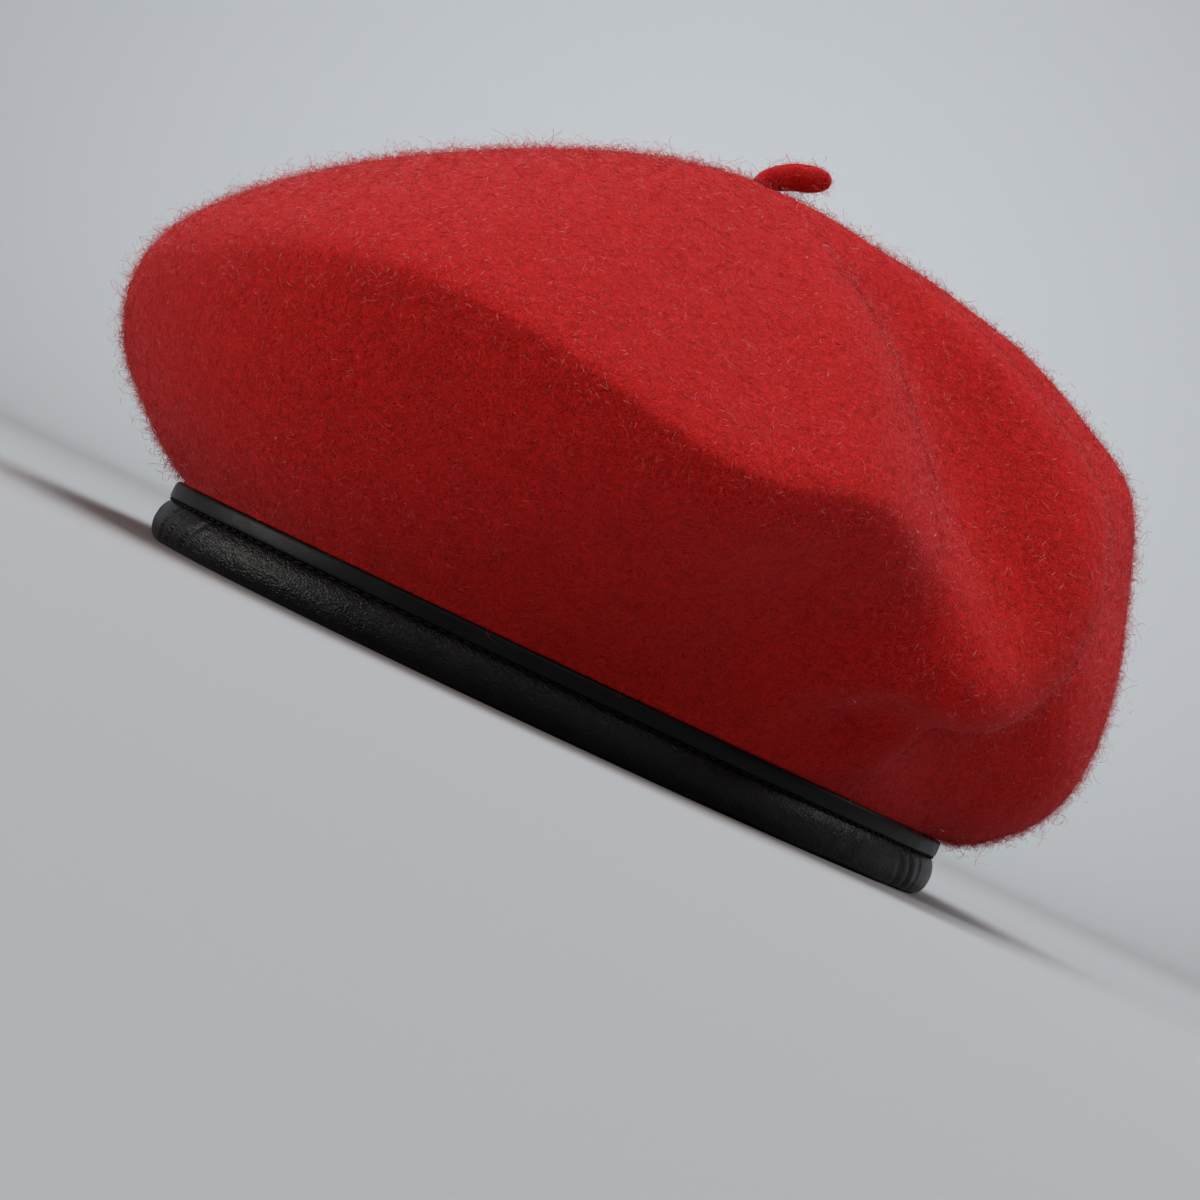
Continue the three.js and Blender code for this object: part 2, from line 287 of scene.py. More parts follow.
def grid_faces(rows, columns, first=0, closed=False):
    """Quads of a grid that closes round, listed so that they face out where the rows run upwards.

    first is the number of the grid's first point. closed joins the last row to the first one too.
    """
    lower_rows = rows if closed else rows - 1
    row, column = np.meshgrid(np.arange(lower_rows), np.arange(columns), indexing="ij")
    beside = (column + 1) % columns
    base, above = row * columns, (row + 1) % rows * columns
    corners = np.stack([base + column, base + beside, above + beside, above + column], -1)
    return (first + corners).reshape(-1, 4).tolist()


def end_faces(rows, columns, low_tip, high_tip):
    """Triangles that close a grid's first row to the point low_tip and its last row to high_tip."""
    faces = []
    last = (rows - 1) * columns
    for j in range(columns):
        beside = (j + 1) % columns
        faces.append((last + j, last + beside, high_tip))
        faces.append((beside, j, low_tip))
    return faces


def add_piece(name, points, faces, material):
    """An object at the origin, from points in millimetres round the head opening's middle."""
    mesh = bpy.data.meshes.new(name)
    mesh.from_pydata((np.asarray(points) * MM + BAND_MIDDLE).tolist(), [], faces)
    mesh.validate()
    mesh.shade_smooth()
    piece = bpy.data.objects.new(name, mesh)
    bpy.context.collection.objects.link(piece)
    if material:
        mesh.materials.append(material)
    return piece


# Materials

def wire(tree, kind, inputs=None, **settings):
    """Adds a node, sets its properties and fills its inputs with values or nodes' outputs."""
    node = tree.nodes.new(kind)
    for name, value in settings.items():
        setattr(node, name, value)
    for name, value in (inputs or {}).items():
        socket = node.inputs[name]
        if isinstance(value, bpy.types.NodeSocket):
            tree.links.new(value, socket)
        else:
            socket.default_value = value
    return node


def arithmetic(tree, operation, *values):
    return wire(tree, "ShaderNodeMath", dict(enumerate(values)), operation=operation).outputs[0]


def vector_arithmetic(tree, operation, inputs):
    return wire(tree, "ShaderNodeVectorMath", inputs, operation=operation).outputs[0]


def spread_range(tree, value, low, high):
    """Runs smoothly from 0 at low to 1 at high. low may be the larger of the two."""
    node = wire(tree, "ShaderNodeMapRange", {"Value": value, "From Min": low, "From Max": high},
                interpolation_type="SMOOTHSTEP")
    return node.outputs["Result"]


def mix_colours(tree, share, first, second):
    node = wire(tree, "ShaderNodeMix", {"Factor": share}, data_type="RGBA")
    for socket, colour in ((node.inputs[6], first), (node.inputs[7], second)):
        if isinstance(colour, bpy.types.NodeSocket):
            tree.links.new(colour, socket)
        else:
            socket.default_value = (*colour, 1)
    return node.outputs[2]


def shader_group(name, inputs, outputs):
    """A shader node group with named sockets. Returns the group, its inputs and its outputs."""
    tree = bpy.data.node_groups.new(name, "ShaderNodeTree")
    for label, kind in inputs:
        tree.interface.new_socket(label, in_out="INPUT", socket_type=kind)
    for label, kind in outputs:
        tree.interface.new_socket(label, in_out="OUTPUT", socket_type=kind)
    return tree, tree.nodes.new("NodeGroupInput").outputs, tree.nodes.new("NodeGroupOutput").inputs


# The wool's pattern: how strongly it swirls, its layers of filaments as (noise scale, shift, half
# width), and the noise values between which pits fill up and deeper dye gives way
SWIRL = 3.0
FILAMENTS = ((0.7, 0.0, 0.07), (1.2, 17.0, 0.09), (1.9, 41.0, 0.12))
PIT_RANGE = (0.36, 0.56)
DYE_RANGE = (0.3, 0.7)
# Shares of the colour, and heights for the bump. The filaments' Highlight colour is a painted
# highlight, and the pits' Shadow colour is painted shade
DYE_SHARE = 0.3
FILAMENT_SHARE = 0.9
FILAMENT_HEIGHT = 0.5
FILLED_HEIGHT = 0.7


def wool_tangle_group():
    """Felted wool: crossing filaments, pits between them and slow clouds of deeper dye."""
    tree, given, result = shader_group(
        "wool_tangle",
        [("Vector", "NodeSocketVector"), ("Fibre size", "NodeSocketFloat"),
         ("Shadow", "NodeSocketColor"), ("Body", "NodeSocketColor"),
         ("Highlight", "NodeSocketColor")],
        [("Color", "NodeSocketColor"), ("Height", "NodeSocketFloat")])
    per_metre = arithmetic(tree, "DIVIDE", 1.0, given["Fibre size"])
    place = vector_arithmetic(tree, "SCALE", {"Vector": given["Vector"], "Scale": per_metre})
    swirl = wire(tree, "ShaderNodeTexNoise", {"Vector": place, "Scale": 0.3, "Detail": 2.0})
    bend = vector_arithmetic(tree, "SCALE", {"Vector": swirl.outputs["Color"], "Scale": SWIRL})
    bent = vector_arithmetic(tree, "ADD", {0: place, 1: bend})
    filaments = None
    for scale, shift, width in FILAMENTS:
        moved = vector_arithmetic(tree, "ADD", {0: bent, 1: (shift, shift, shift)})
        strand = wire(tree, "ShaderNodeTexNoise", {"Vector": moved, "Scale": scale, "Detail": 1.0})
        off = arithmetic(tree, "ABSOLUTE", arithmetic(tree, "SUBTRACT", strand.outputs["Fac"], 0.5))
        line = spread_range(tree, off, width, 0.0)
        filaments = line if filaments is None else arithmetic(tree, "MAXIMUM", filaments, line)
    pit = wire(tree, "ShaderNodeTexNoise", {"Vector": bent, "Scale": 0.35, "Detail": 3.0})
    filled = spread_range(tree, pit.outputs["Fac"], *PIT_RANGE)
    cloud = wire(tree, "ShaderNodeTexNoise", {"Vector": place, "Scale": 0.055, "Detail": 2.0})
    dyed = spread_range(tree, cloud.outputs["Fac"], *DYE_RANGE)
    dye = arithmetic(tree, "MULTIPLY", dyed, DYE_SHARE)
    depth = arithmetic(tree, "MULTIPLY_ADD", filled, 1 - DYE_SHARE, dye)
    # Pits run to the Shadow colour as painted shade; the same colour also deepens the dye clouds
    ground = mix_colours(tree, depth, given["Shadow"], given["Body"])
    # Filaments run to the Highlight colour, a painted highlight
    lit = arithmetic(tree, "MULTIPLY", filaments, FILAMENT_SHARE)
    tree.links.new(mix_colours(tree, lit, ground, given["Highlight"]), result["Color"])
    ground_height = arithmetic(tree, "MULTIPLY", filled, FILLED_HEIGHT)
    height = arithmetic(tree, "MULTIPLY_ADD", filaments, FILAMENT_HEIGHT, ground_height)
    tree.links.new(height, result["Height"])
    return tree


# The leather's pattern: the crinkles' slant in radians and how they are drawn out, the edge of a
# cell as a share of its size, and heights for the bump
CRINKLE_SLANT = 0.35
CRINKLE_STRETCH = (0.3, 1.0, 1.0)
CELL_EDGE = 0.3
CELL_HEIGHT = 0.35
FINE_HEIGHT = 0.2


def leather_grain_group():
    """Soft leather: small rounded cells, and fine crinkles that run slanted along the band."""
    tree, given, result = shader_group(
        "leather_grain",
        [("Vector", "NodeSocketVector"), ("Cell size", "NodeSocketFloat"),
         ("Crinkle", "NodeSocketFloat")],
        [("Height", "NodeSocketFloat"), ("Rub", "NodeSocketFloat")])
    per_metre = arithmetic(tree, "DIVIDE", 1.0, given["Cell size"])
    place = vector_arithmetic(tree, "SCALE", {"Vector": given["Vector"], "Scale": per_metre})
    wander = wire(tree, "ShaderNodeTexNoise", {"Vector": place, "Scale": 0.7, "Detail": 1.0})
    bent = vector_arithmetic(tree, "ADD", {0: place, 1: wander.outputs["Color"]})
    cells = wire(tree, "ShaderNodeTexVoronoi", {"Vector": bent, "Scale": 1.0},
                 feature="DISTANCE_TO_EDGE")
    plump = spread_range(tree, cells.outputs["Distance"], 0.0, CELL_EDGE)
    fine = wire(tree, "ShaderNodeTexNoise", {"Vector": place, "Scale": 3.5, "Detail": 2.0})
    slanted = wire(tree, "ShaderNodeVectorRotate", {"Vector": bent, "Angle": CRINKLE_SLANT},
                   rotation_type="Z_AXIS")
    drawn_out = vector_arithmetic(tree, "MULTIPLY", {0: slanted.outputs[0], 1: CRINKLE_STRETCH})
    crinkles = wire(tree, "ShaderNodeTexNoise", {"Vector": drawn_out, "Scale": 1.1, "Detail": 2.0})
    crinkled = arithmetic(tree, "MULTIPLY", crinkles.outputs["Fac"], given["Crinkle"])
    height = arithmetic(tree, "MULTIPLY_ADD", fine.outputs["Fac"], FINE_HEIGHT, crinkled)
    tree.links.new(arithmetic(tree, "MULTIPLY_ADD", plump, CELL_HEIGHT, height), result["Height"])
    rub = wire(tree, "ShaderNodeTexNoise", {"Vector": place, "Scale": 0.08, "Detail": 3.0})
    tree.links.new(rub.outputs["Fac"], result["Rub"])
    return tree


def new_material(name):
    material = bpy.data.materials.new(name)
    material.use_nodes = True
    return material, material.node_tree, material.node_tree.nodes["Principled BSDF"]


def set_values(shader, values):
    for name, value in values.items():
        shader.inputs[name].default_value = value


WOOL_SHEEN = {"Roughness": 0.95, "Specular IOR Level": 0.06, "Sheen Weight": 0.35,
              "Sheen Roughness": 0.45, "Sheen Tint": (1.0, 0.17, 0.17, 1)}
# Painted sheen: a lighter colour mixed into the felt where it is seen at a low angle, standing in
# for the glow of its short fibres. Its colour, the range over which it comes in, and its share
PAINTED_SHEEN_COLOUR = (0.54, 0.022, 0.024)
PAINTED_SHEEN_RANGE = (0.2, 0.85)
PAINTED_SHEEN_SHARE = 0.9


def felt_material(name, tangle, fibre_size, shadow, body, highlight, relief):
    material, tree, shader = new_material(name)
    set_values(shader, WOOL_SHEEN)
    place = wire(tree, "ShaderNodeTexCoord").outputs["Object"]
    wool = wire(tree, "ShaderNodeGroup", node_tree=tangle)
    tree.links.new(place, wool.inputs["Vector"])
    set_values(wool, {"Fibre size": fibre_size, "Shadow": (*shadow, 1), "Body": (*body, 1),
                      "Highlight": (*highlight, 1)})
    # Painted sheen: the felt's colour turns lighter where it is seen at a low angle
    facing = wire(tree, "ShaderNodeLayerWeight", {"Blend": 0.5}).outputs["Facing"]
    grazing = arithmetic(tree, "MULTIPLY", spread_range(tree, facing, *PAINTED_SHEEN_RANGE), PAINTED_SHEEN_SHARE)
    colour = mix_colours(tree, grazing, wool.outputs["Color"], PAINTED_SHEEN_COLOUR)
    tree.links.new(colour, shader.inputs["Base Color"])
    bump = wire(tree, "ShaderNodeBump", {
        "Strength": 0.8, "Distance": relief, "Height": wool.outputs["Height"]})
    tree.links.new(bump.outputs["Normal"], shader.inputs["Normal"])
    return material


def fibre_material(name, colour):
    material, _, shader = new_material(name)
    set_values(shader, WOOL_SHEEN)
    set_values(shader, {"Base Color": (*colour, 1), "Transmission Weight": 0.45})
    return material


# Leather, plain and rubbed, with the range over which one turns into the other
LEATHER_PLAIN = (0.0015, 0.0015, 0.0015)
LEATHER_RUBBED = (0.004, 0.0038, 0.0034)
RUB_RANGE = (0.35, 0.7)
RUB_ROUGHNESS = 0.05


def leather_material(name, grain, cell_size, crinkle, relief, shine, roughness):
    material, tree, shader = new_material(name)
    set_values(shader, {"Specular IOR Level": shine})
    along = wire(tree, "ShaderNodeUVMap", uv_map="along_band").outputs["UV"]
    hide = wire(tree, "ShaderNodeGroup", node_tree=grain)
    tree.links.new(along, hide.inputs["Vector"])
    set_values(hide, {"Cell size": cell_size, "Crinkle": crinkle})
    rubbed = spread_range(tree, hide.outputs["Rub"], *RUB_RANGE)
    colour = mix_colours(tree, rubbed, LEATHER_PLAIN, LEATHER_RUBBED)
    tree.links.new(colour, shader.inputs["Base Color"])
    rough = wire(tree, "ShaderNodeMapRange", {
        "Value": rubbed, "To Min": roughness - RUB_ROUGHNESS, "To Max": roughness + RUB_ROUGHNESS})
    tree.links.new(rough.outputs["Result"], shader.inputs["Roughness"])
    bump = wire(tree, "ShaderNodeBump", {
        "Strength": 0.7, "Distance": relief, "Height": hide.outputs["Height"]})
    tree.links.new(bump.outputs["Normal"], shader.inputs["Normal"])
    return material


tangle = wool_tangle_group()
grain = leather_grain_group()
felt = felt_material(
    "red_wool_felt", tangle, fibre_size=0.55 * MM, relief=0.24 * MM,
    shadow=(0.12, 0.0005, 0.0005), body=(0.36, 0.0028, 0.0028), highlight=(0.68, 0.018, 0.014))
stalk_felt = felt_material(
    "pressed_wool_felt", tangle, fibre_size=0.45 * MM, relief=0.2 * MM,
    shadow=(0.14, 0.0005, 0.0005), body=(0.36, 0.003, 0.003), highlight=(0.6, 0.014, 0.012))
roll_leather = leather_material(
    "padded_roll_leather", grain, cell_size=0.8 * MM, crinkle=1.6, relief=0.24 * MM, shine=0.24,
    roughness=0.36)
strip_leather = leather_material(
    "flat_strip_leather", grain, cell_size=0.6 * MM, crinkle=0.3, relief=0.05 * MM, shine=0.15,
    roughness=0.44)


# The crown: felt wall, outside and inside

CROWN_COLUMNS = 420
LOW_ROWS = 45
HIGH_ROWS = 90
# The inside has one row for this many rows outside
INSIDE_EVERY = 5
ROUNDING_PASSES = 8
NORMAL_PASSES = 12
APEX_POINT = np.array([0, -APEX_FORWARD, APEX])

directions = np.arange(CROWN_COLUMNS) * 360 / CROWN_COLUMNS
levels = np.concatenate([np.linspace(0, 1, LOW_ROWS + 1), np.linspace(1, 2, HIGH_ROWS + 1)[1:-1]])


def softened(points, times):
    """Rings of points with their sharp edges rounded, as thick felt rounds them."""
    for _ in range(times):
        points = (np.roll(points, 1, 1) + 2 * points + np.roll(points, -1, 1)) / 4
        middle = (points[:-2] + 2 * points[1:-1] + points[2:]) / 4
        points = np.concatenate([points[:1], middle, points[-1:]])
    return points


outside = softened(crown_outside(directions[None], levels[:, None]), ROUNDING_PASSES)


def surface_normals(points):
    """Outward normals of rings of points, evened out over their neighbours."""
    around = np.roll(points, -1, 1) - np.roll(points, 1, 1)
    up = np.gradient(points, axis=0)
    normals = np.cross(around, up)
    normals /= np.linalg.norm(normals, axis=-1, keepdims=True)
    for _ in range(NORMAL_PASSES):
        normals = normals + np.roll(normals, 1, 1) + np.roll(normals, -1, 1)
        normals[1:-1] = (normals[:-2] + normals[1:-1] + normals[2:]) / 3
        normals /= np.linalg.norm(normals, axis=-1, keepdims=True)
    return normals


def add_crown():
    foot = polar(directions, band_radius(directions) - FELT_OUTER, FELT_BOTTOM)
    inner_foot = polar(directions, band_radius(directions) - FELT_INNER, FELT_BOTTOM)
    inside = (outside - FELT * surface_normals(outside))[::INSIDE_EVERY][::-1]
    rings = np.concatenate([inside, inner_foot[None], foot[None], outside])
    count = len(rings)
    points = [*rings.reshape(-1, 3), APEX_POINT, APEX_POINT - (0, 0, FELT)]
    top = count * CROWN_COLUMNS
    faces = grid_faces(count, CROWN_COLUMNS) + end_faces(count, CROWN_COLUMNS, top + 1, top)
    return add_piece("crown_felt", points, faces, felt)


# The stalk: round sections along a short bent route. It rises over its neck and then lies over, at
# an angle in degrees. A section is (share of the route, share of the radius).

STALK_LENGTH = 18.0
STALK_RADIUS = 3.3
STALK_DIRECTION = 152
STALK_RISE = 15
STALK_NECK = 3.8
STALK_SECTIONS = [(0, 0.9), (0.2, 0.8), (0.35, 0.88), (0.5, 0.96), (0.66, 1), (0.82, 0.98),
                  (0.92, 0.8), (0.98, 0.45), (1, 0)]
STALK_LUMPS = ((4, 0.18, 5),)
STALK_SIDES = 40
STALK_RINGS = 44
STALK_STEPS = 8
# How strongly the rings crowd towards the tip
STALK_CROWDING = 1.6


def stalk_rings():
    """Rings of points from the stalk's root to its tip, and those two points."""
    root = APEX_POINT + (0, 0, GAP)
    rise = math.radians(STALK_RISE)
    lean = polar(STALK_DIRECTION, math.cos(rise), math.sin(rise))
    neck = root + (0, 0, STALK_NECK)
    tip = neck + lean * (STALK_LENGTH - STALK_RADIUS)
    shares = 1 - (1 - np.linspace(0, 1, STALK_RINGS))**STALK_CROWDING
    across = np.cross((0, 0, 1), polar(STALK_DIRECTION, 1, 0))
    sizes = smooth_path(STALK_SECTIONS, STALK_STEPS)
    turn = np.arange(STALK_SIDES)[:, None] * 2 * math.pi / STALK_SIDES
    rings = []
    for share in shares[:-1]:
        middle = (1 - share)**2 * root + 2 * share * (1 - share) * neck + share**2 * tip
        tangent = (1 - share) * (neck - root) + share * (tip - neck)
        upward = np.cross(tangent / np.linalg.norm(tangent), across)
        size = STALK_RADIUS * np.interp(share, sizes[:, 0], sizes[:, 1])
        rings.append(middle + size * (np.cos(turn) * across + np.sin(turn) * upward))
    rings = np.array(rings)
    outward = rings - rings.mean(1, keepdims=True)
    outward /= np.linalg.norm(outward, axis=-1, keepdims=True)
    return rings + outward * lumps(rings, STALK_LUMPS)[..., None], root, tip


def add_stalk():
    rings, root, tip = stalk_rings()
    points = [*rings.reshape(-1, 3), root, tip]
    low = len(rings) * STALK_SIDES
    faces = grid_faces(len(rings), STALK_SIDES) + end_faces(len(rings), STALK_SIDES, low, low + 1)
    return add_piece("stalk_felt", points, faces, stalk_felt)


# The band: rings of leather round the head opening

BAND_COLUMNS = 720
BAND_TURNS = np.arange(BAND_COLUMNS) * 360 / BAND_COLUMNS


def loop_lengths(points):
    """Distance along a closed line from its first point to each point, and once round."""
    steps = np.linalg.norm(np.roll(points, -1, 0) - points, axis=-1)
    return np.concatenate([[0], np.cumsum(steps)])


def add_ring(name, section, material, relief):
    """A closed ring from a section of (in from the roll's outside, height) points.

    relief says how far each point of the section moves in and up, by direction. The UV map runs
    along the band and round the section, in metres.
    """
    move_in, move_up = relief(section, BAND_TURNS)
    radius = band_radius(BAND_TURNS)[None] - (section[:, :1] + move_in)
    rings = polar(BAND_TURNS[None], radius, section[:, 1:] + move_up)
    faces = grid_faces(len(section), BAND_COLUMNS, closed=True)
    piece = add_piece(name, rings.reshape(-1, 3), faces, material)
    along = loop_lengths(rings[0])
    across = loop_lengths(section)
    row, column = np.divmod(np.arange(len(faces)), BAND_COLUMNS)
    uv = np.stack([along[column], across[row], along[column + 1], across[row],
                   along[column + 1], across[row + 1], along[column], across[row + 1]], -1) * MM
    layer = piece.data.uv_layers.new(name="along_band")
    layer.data.foreach_set("uv", uv.astype(np.float32).ravel())
    return piece


# Creases that run up and down the roll where it is bent or pressed, slanted in degrees for each
# millimetre that they rise
CREASE_COLUMNS = ("direction", "depth", "breadth", "slant")
CREASES = [dict(zip(CREASE_COLUMNS, row)) for row in (
    (-22, 0.35, 1.6, 0.1), (-9, 0.3, 1.5, 0.2), (-1.5, 0.6, 1.0, 0.3), (1.5, 0.45, 0.9, 0.25),
    (6.5, 0.5, 1.3, 0.4), (118, 0.25, 2.2, 0.4), (133, 0.35, 1.4, -0.3), (137, 0.45, 1.2, -0.25),
    (141, 0.3, 1.2, -0.1), (196, 0.3, 1.6, 0.2), (262, 0.25, 2.0, -0.3),
)]
# The height at which a crease has its stated direction
CREASE_HEIGHT = 5
# A crease has a raised lip on each side: its height in depths and its distance in breadths
LIP_SHARE = 0.45
LIP_PLACE = 1.8
ROLL_LUMPS = ((24, 0.18, 7), (7, 0.1, 13))
STRIP_LUMPS = ((18, 0.12, 31),)
# Stitches pull the roll in at the groove, by this much and down to about this far below it
STITCH_PITCH = 2.9
STITCH_PULL = 0.12
PULL_HEIGHT = 1.2
# The roll's lower edge lifts a little here and there
LIFT_LUMPS = ((16, 0.5, 21),)
LIFT = 0.25


def roll_relief(section, turns):
    """How far the padded roll's outside is pressed in and its lower edge lifted."""
    high = section[:, 1] / ROLL_TOP
    on_roll = ((section[:, 0] < STRIP_INNER) & (section[:, 1] <= ROLL_TOP)).astype(float)
    belly = on_roll * np.sin(np.pi * np.clip(high, 0, 1))**0.5
    radius = band_radius(turns)
    press = np.zeros((len(section), len(turns)))
    for crease in CREASES:
        centre = crease["direction"] + crease["slant"] * (section[:, 1] - CREASE_HEIGHT)
        off = (turns[None] - centre[:, None] + 180) % 360 - 180
        arc = np.radians(off) * radius[None]
        lip = LIP_SHARE * bell((np.abs(arc) - LIP_PLACE * crease["breadth"]) / crease["breadth"])
        press += crease["depth"] * (bell(arc / crease["breadth"]) - lip)
    places = polar(turns, radius, 0)
    slow = lumps(places, ROLL_LUMPS)[None]
    stitch_turns = 2 * np.pi * loop_lengths(places)[:-1] / STITCH_PITCH
    pucker = STITCH_PULL * (0.5 + 0.5 * np.cos(stitch_turns))[None]
    near_seam = (on_roll * bell((section[:, 1] - ROLL_TOP) / PULL_HEIGHT))[:, None]
    move_in = belly[:, None] * (press + slow) + near_seam * pucker
    lift = np.clip(lumps(places, LIFT_LUMPS) + LIFT, 0, 1)[None]
    move_up = on_roll[:, None] * lift * (np.clip(1 - high, 0, 1)**2)[:, None]
    return move_in, move_up


def add_roll():
    """The padded roll: its outside, the fold under the felt's edge, and the leaf on the inside."""
    outer = smooth_path([(1.9, 0), (0.7, 0.8), (-0.1, 2.6), (-0.35, 4.7), (-0.1, 6.8), (0.7, 8.6),
                         (1.6, ROLL_TOP), (1.8, ROLL_TOP + 0.2)], 6)
    hidden = [(STRIP_INNER + 0.12, ROLL_TOP + 0.9), (STRIP_INNER + 0.12, FELT_BOTTOM - GAP),
              (LEAF_OUTER, FELT_BOTTOM - GAP), (LEAF_OUTER, 8.0), (LEAF_OUTER, LEAF_TOP - 0.4)]
    inner = smooth_path([(LEAF_OUTER + 0.2, LEAF_TOP - 0.1), (LEAF_OUTER + 0.75, LEAF_TOP),
                         (LEAF_INNER - 0.2, LEAF_TOP - 0.1), (LEAF_INNER, LEAF_TOP - 0.5)], 3)
    leaf = [(LEAF_INNER, 11.0), (LEAF_INNER, 7.0), (LEAF_INNER, 3.5)]
    turned = smooth_path([(LEAF_INNER, 1.4), (LEAF_INNER - 0.2, 0.5), (LEAF_INNER - 0.8, 0)], 4)
    section = np.array([*outer, *hidden, *inner, *leaf, *turned, (3.4, 0)])
    return add_ring("padded_leather_roll", section, roll_leather, roll_relief)


def strip_relief(section, turns):
    """How far the flat strip's outside is pressed in. It isn't lifted."""
    places = polar(turns, band_radius(turns), 0)
    outer = (section[:, 0] < STRIP_INNER - GAP).astype(float)[:, None]
    return outer * lumps(places, STRIP_LUMPS)[None], np.zeros((len(section), len(turns)))


def add_strip():
    low = ROLL_TOP + GAP
    outer = smooth_path([(STRIP_OUTER + 0.55, low), (STRIP_OUTER + 0.12, low + 0.3),
                         (STRIP_OUTER, low + 1.0), (STRIP_OUTER, low + 2.2),
                         (STRIP_OUTER + 0.06, STRIP_TOP - 1.0),
                         (STRIP_OUTER + 0.3, STRIP_TOP - 0.35), (STRIP_OUTER + 0.75, STRIP_TOP)], 4)
    inner = [(STRIP_INNER, STRIP_TOP + 0.05), (STRIP_INNER, STRIP_TOP - 2), (STRIP_INNER, low)]
    section = np.array([*outer, *inner])
    return add_ring("flat_leather_strip", section, strip_leather, strip_relief)


# Geometry Nodes: the felt's fibres and the band's stitches

def geometry_tree(name, inputs):
    """A Geometry Nodes tree with named inputs. Returns the tree, its inputs and its result."""
    tree = bpy.data.node_groups.new(name, "GeometryNodeTree")
    tree.is_modifier = True
    tree.interface.new_socket("Geometry", in_out="INPUT", socket_type="NodeSocketGeometry")
    for label, kind in inputs:
        tree.interface.new_socket(label, in_out="INPUT", socket_type=kind)
    tree.interface.new_socket("Geometry", in_out="OUTPUT", socket_type="NodeSocketGeometry")
    return tree, tree.nodes.new("NodeGroupInput").outputs, tree.nodes.new("NodeGroupOutput").inputs


def grow(base, tree, name, values):
    """Runs a tree on a copy of base and returns the result as a plain mesh object."""
    grown = bpy.data.objects.new(name + "_base", base.data)
    bpy.context.collection.objects.link(grown)
    modifier = grown.modifiers.new("grow", "NODES")
    modifier.node_group = tree
    for socket in tree.interface.items_tree:
        if socket.item_type == "SOCKET" and socket.name in values:
            modifier[socket.identifier] = values[socket.name]
    graph = bpy.context.evaluated_depsgraph_get()
    mesh = bpy.data.meshes.new_from_object(grown.evaluated_get(graph), depsgraph=graph)
    mesh.name = name
    bpy.data.objects.remove(grown)
    piece = bpy.data.objects.new(name, mesh)
    bpy.context.collection.objects.link(piece)
    return piece


def set_result(tree, instances, material, result):
    """Ends a tree: its instances become one smooth mesh of this material."""
    real = wire(tree, "GeometryNodeRealizeInstances", {"Geometry": instances})
    smooth = wire(tree, "GeometryNodeSetShadeSmooth", {"Geometry": real.outputs["Geometry"]})
    finished = wire(tree, "GeometryNodeSetMaterial", {
        "Geometry": smooth.outputs["Geometry"], "Material": material})
    tree.links.new(finished.outputs["Geometry"], result["Geometry"])


def scaled(tree, direction, length):
    return vector_arithmetic(tree, "SCALE", {"Vector": direction, "Scale": length})


# A random value node's sockets for its least value, its most value and its result
RANDOM_SOCKETS = {"FLOAT": (2, 3, 1), "INT": (4, 5, 2)}


def random_value(tree, kind, least, most, seed):
    low, high, result = RANDOM_SOCKETS[kind]
    node = wire(tree, "FunctionNodeRandomValue", {low: least, high: most, "Seed": seed},
                data_type=kind)
    return node.outputs[result]


# The smallest and the largest fibre of a kind, as shares of its length
FIBRE_SIZES = (0.55, 1.35)
FIBRE_INPUTS = [
    ("Density", "NodeSocketFloat"), ("Seed", "NodeSocketInt"), ("Length", "NodeSocketFloat"),
    ("Width", "NodeSocketFloat"), ("Least lean", "NodeSocketFloat"),
    ("Most lean", "NodeSocketFloat"), ("Sink", "NodeSocketFloat"),
    ("Material", "NodeSocketMaterial"),
]


